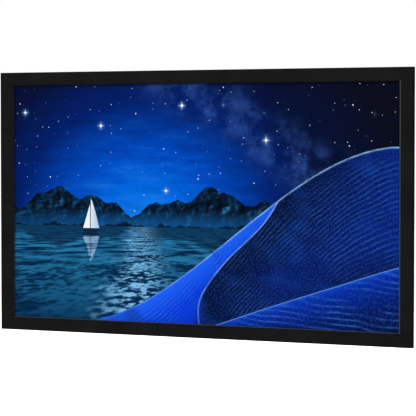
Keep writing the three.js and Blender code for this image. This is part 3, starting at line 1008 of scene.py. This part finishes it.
def boat_masks(r, x, z):
    """Where the hull and the sails are, at a place measured from the deck's middle."""
    half = (BOAT_HIGH.x - BOAT_LOW.x) / 2
    mast = BOAT_HIGH.z - BOAT_LOW.z - BOAT_HULL
    depth = r.times(z, -1.0)
    side = r.minus(half, r.times(depth, BOAT_RAKE / BOAT_HULL))
    hull = r.times(
        within(r, side, r.size(x)),
        r.step(depth, -EDGE, EDGE), r.step(depth, BOAT_HULL + EDGE, BOAT_HULL - EDGE),
    )
    up = r.over(r.minus(z, BOOM_HEIGHT), mast)
    left = r.minus(1.0, r.math("MAXIMUM", up, 0.0))
    main_width = r.times(r.math("POWER", left, 0.75), MAIN_WIDTH)
    aloft = r.times(r.step(up, -0.01, 0.01), r.step(up, 1.0, 0.98))
    main = r.times(r.step(x, -EDGE, EDGE), within(r, main_width, x), aloft)
    jib_width = r.times(r.math("MAXIMUM", r.minus(JIB_TOP, up), 0.0), JIB_WIDTH)
    back = r.minus(-MAST_GAP, x)
    aloft = r.times(aloft, r.step(up, JIB_TOP, JIB_TOP - 0.02))
    jib = r.times(r.step(back, -EDGE, EDGE), within(r, jib_width, back), aloft)
    return hull, r.math("MAXIMUM", main, jib)


def lay_boat(r, colour, x, z, ripple):
    """Lays the boat and its broken reflection over a colour."""
    deck = BOAT_LOW.z + BOAT_HULL
    dx, dz = r.minus(x, BOAT_X), r.minus(z, deck)
    shaken = r.add(dx, r.times(r.minus(ripple, 0.5), 0.05))
    mirrored = r.minus(2 * (BOAT_LOW.z - deck), dz)
    hull, sails = boat_masks(r, shaken, r.times(mirrored, 1.15))
    under = r.step(mirrored, -BOAT_HULL - EDGE, -BOAT_HULL + EDGE)
    broken = r.step(ripple, 0.38, 0.56, 0.15, 0.75)
    colour = r.mix(r.times(sails, broken, under), colour, paint(150, 192, 228))
    colour = r.mix(r.times(hull, under, 0.7), colour, paint(10, 26, 48))
    hull, sails = boat_masks(r, dx, dz)
    sailcloth = r.mix(r.step(dx, -0.03, 0.05), paint(244, 248, 252), paint(176, 202, 232))
    colour = r.mix(sails, colour, sailcloth)
    return r.mix(hull, colour, paint(20, 36, 66))


print("the boat lies at", round(BOAT_X, 3), "m")

# %% [markdown]
# ## The cloth's front
# The cloth is a matt white vinyl with a very fine grain, and the picture lies in it with no gloss. A
# border under the frame stays white, and so do the sleeves, which show the cloth's front side at the
# back, with the fine ribs of a heat weld. One material can tell these places apart by where they are
# and which way they are turned, so the sheet needs no second mesh for its picture.

# %% Make the front
CLOTH_WHITE = paint(232, 232, 228)
CLOTH_SHADE = paint(186, 186, 184)
STAR_BLUE = paint(110, 180, 255)
STAR_WHITE = paint(244, 248, 255)
WELD_RIB = 3 * MM
GRAIN_SCALE = 1400


def paint_picture(r, x, z):
    """All fields of the picture, one laid over another from the sky to the near dune."""
    crest = ridge_line(r, x)
    colour = paint_sky(r, x, z)
    stars = r.math("MINIMUM", paint_stars(r, x, z), 1.0)
    colour = r.mix(stars, colour, r.mix(stars, STAR_BLUE, STAR_WHITE))
    colour = r.mix(within(r, crest, z), colour, paint_ridge(r, x, z))
    lake, ripple = paint_lake(r, x, z, crest)
    colour = r.mix(within(r, HORIZON, z), colour, lake)
    colour = lay_boat(r, colour, x, z, ripple)
    dune = dune_line(r, x)
    colour = r.mix(within(r, dune, z), colour, paint_dune(r, x, z, dune))
    depth, sand = near_dune(r, x, z)
    return r.mix(r.step(depth, -EDGE, EDGE), colour, sand)


def make_front():
    """White cloth with the picture in it, inside the frame and on the flat front only."""
    material, r, shader = new_surface("picture_cloth", Roughness=0.9, Specular_IOR_Level=0.0)
    where = r.place()
    x, _, z = r.split(where)
    _, turned, _ = r.split(r.facing())
    outside_x = r.step(r.size(x), view_x, view_x + MM)
    outside_z = r.step(r.size(z), view_z, view_z + MM)
    outside = r.math("MAXIMUM", outside_x, outside_z)
    bare = r.math("MAXIMUM", outside, r.step(turned, -0.9, -0.7))
    ribs = r.math("SINE", r.times(r.add(x, z), 2 * math.pi / WELD_RIB))
    rib_shade = r.times(r.step(turned, 0.5, 0.9), r.step(ribs, -0.3, 0.9), 0.4)
    white = r.mix(rib_shade, CLOTH_WHITE, CLOTH_SHADE)
    colour = r.mix(bare, paint_picture(r, x, z), white)
    grain = r.noise(where, GRAIN_SCALE, 3, 0.6)
    finish_surface(r, shader, colour, r.bump(grain, 0.25, 0.15 * MM))
    return material


picture = make_front()
print("picture nodes:", len(picture.node_tree.nodes))

# %% [markdown]
# ## The cloth's back
# Behind, the same cloth has a black coating over its weave, which shows as tiny squares close up. Two sine
# waves multiplied make such a grid, and the product serves both as a colour and as a bump. Threads as a
# mesh would be far too many.

# %% Make the back
THREAD = 1.4 * MM


def make_backing():
    material, r, shader = new_surface("black_backing", Roughness=0.72, Specular_IOR_Level=0.3)
    where = r.place()
    x, _, z = r.split(where)
    across = r.math("SINE", r.times(x, 2 * math.pi / THREAD))
    along = r.math("SINE", r.times(z, 2 * math.pi / THREAD))
    weave = r.times(across, along)
    cloudy = r.noise(where, 5, 4, 0.6)
    colour = r.mix(r.step(cloudy, 0.35, 0.65), paint(26, 26, 28), paint(36, 36, 39))
    colour = r.mix(r.step(weave, -0.6, 0.6, 0.0, 0.35), colour, paint(46, 46, 49))
    finish_surface(r, shader, colour, r.bump(weave, 0.35, 0.2 * MM))
    return material


backing = make_backing()
print("made", backing.name)

# %% [markdown]
# ## The cloth's cut
# A maker cuts the cloth flat before it is hemmed, so its cut size is the distance between the rods and, at
# each side, the way round the rod, down the slope and across the flap. Solidify then gives the sheet its
# thickness, with the front's material in front and the back's behind.

cloth.data.materials.append(picture)
cloth.data.materials.append(backing)
give_thickness(cloth, CLOTH_THICKNESS, second_material=1)
smooth()
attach(cloth, "root")
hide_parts("screen_sheet", *[name for name in nodes if name.startswith("picture_")])

# %% [markdown]
# ## Aluminium
# The tubes are drawn through a die, which leaves fine lines along them, and then anodised black. A noise
# that is stretched far along one axis gives such lines. The solid model already has the right shapes for
# all the hard pieces, so they only need their finish.


# %% Make the aluminium
def make_aluminium(name, stretch):
    """Black anodised aluminium with drawing lines along the axis that is stretched least."""
    material, r, shader = new_surface(name, Metallic=1.0, Roughness=0.45)
    lines = r.noise(r.place(stretch), 1.0, 4, 0.6)
    soft = r.noise(r.place(), 8, 3)
    colour = r.mix(r.step(lines, 0.3, 0.7), paint(44, 45, 48), paint(66, 67, 71))
    rough = r.step(r.add(r.times(lines, 0.6), r.times(soft, 0.4)), 0.3, 0.7, 0.38, 0.55)
    finish_surface(r, shader, colour, r.bump(lines, 0.25, 0.1 * MM), rough)
    return material


LEVEL = (3, 900, 900)
UPRIGHT = (900, 900, 3)
drawn_level = make_aluminium("aluminium_drawn_level", LEVEL)
drawn_upright = make_aluminium("aluminium_drawn_upright", UPRIGHT)
print("made", drawn_level.name, "and", drawn_upright.name)

# %% [markdown]
# ## Glass fibre
# The rods are pultruded: strands are pulled through resin and a die, so they run lengthwise in a cream
# skin. The same stretched noise as on the tubes shows them, with no rough patches.


# %% Make the glass fibre
def make_glass_fibre(name, stretch):
    material, r, shader = new_surface(name, Roughness=0.35, Specular_IOR_Level=0.5)
    strands = r.noise(r.place(stretch), 1.0, 3, 0.6)
    colour = r.mix(r.step(strands, 0.3, 0.7), paint(206, 204, 186), paint(232, 231, 220))
    finish_surface(r, shader, colour, r.bump(strands, 0.2, 0.1 * MM))
    return material


fibre_level = make_glass_fibre("glass_fibre_level", LEVEL)
fibre_upright = make_glass_fibre("glass_fibre_upright", UPRIGHT)
print("made", fibre_level.name, "and", fibre_upright.name)

# %% [markdown]
# ## Zinc, powder coat and nylon
# The brackets, splice bars and clamps are zinc-plated steel with a cloudy bright skin. The wall brackets
# are powder coated, which leaves tiny pebbles, and the clips are moulded in black nylon, which flows a
# little. Each is a soft pattern under a fine one, so one function makes all three from two noises.


# %% Make zinc, powder coat and nylon
def patchy_finish(name, patch, shades, rough, grain, bump, **values):
    """A finish whose colour and roughness follow one soft noise, with a fine grain as bump."""
    material, r, shader = new_surface(name, **values)
    cloudy = r.noise(r.place(), *patch)
    start, end, dark, light = shades
    colour = r.mix(r.step(cloudy, start, end), paint(*dark), paint(*light))
    bumpy = r.bump(r.noise(r.place(), *grain), *bump)
    finish_surface(r, shader, colour, bumpy, r.step(cloudy, *rough))
    return material


zinc = patchy_finish(
    "zinc_plated_steel", Metallic=1.0, Roughness=0.35,
    patch=(60, 5, 0.62), shades=(0.25, 0.75, (148, 153, 160), (176, 180, 184)),
    rough=(0.25, 0.75, 0.42, 0.56), grain=(500, 2), bump=(0.2, 0.1 * MM),
)
powder_coat = patchy_finish(
    "black_powder_coat", Roughness=0.5, Specular_IOR_Level=0.5,
    patch=(20, 3, 0.5), shades=(0.35, 0.65, (24, 24, 25), (33, 33, 34)),
    rough=(0.3, 0.7, 0.42, 0.58), grain=(900, 2), bump=(0.4, 0.25 * MM),
)
nylon = patchy_finish(
    "black_nylon", Roughness=0.45, Specular_IOR_Level=0.5,
    patch=(60, 4, 0.6), shades=(0.35, 0.65, (30, 31, 33), (42, 43, 45)),
    rough=(0.3, 0.7, 0.38, 0.55), grain=(1500, 2), bump=(0.25, 0.1 * MM),
)
print("made", zinc.name, powder_coat.name, "and", nylon.name)

# %% [markdown]
# ## Dressing the solid pieces
# Each finish goes to its pieces, found by their names, which is shorter than a list. Upright tubes and
# rods get the upright finish after the level one, so that their lines run along them too.


# %% Dress the solid pieces
def dress(start, material, *ends):
    """Gives a finish to the solid pieces by the start, and where given the end, of their names."""
    for name, piece in nodes.items():
        if name.startswith(start) and (not ends or name.endswith(ends)):
            for slot in piece.material_slots:
                slot.material = material


dress("rail_", drawn_level)
dress("rail_", drawn_upright, "rail_left", "rail_right")
dress("support_bar", drawn_upright)
dress("tension_rod", fibre_level)
dress("tension_rod", fibre_upright, "left", "right")
dress("tension_clip", nylon)
for start in ("corner_bracket", "splice_bar", "support_clamp"):
    dress(start, zinc)
dress("wall_bracket", powder_coat)
finishes = {slot.material.name for piece in nodes.values() for slot in piece.material_slots}
print("finishes:", sorted(finishes))
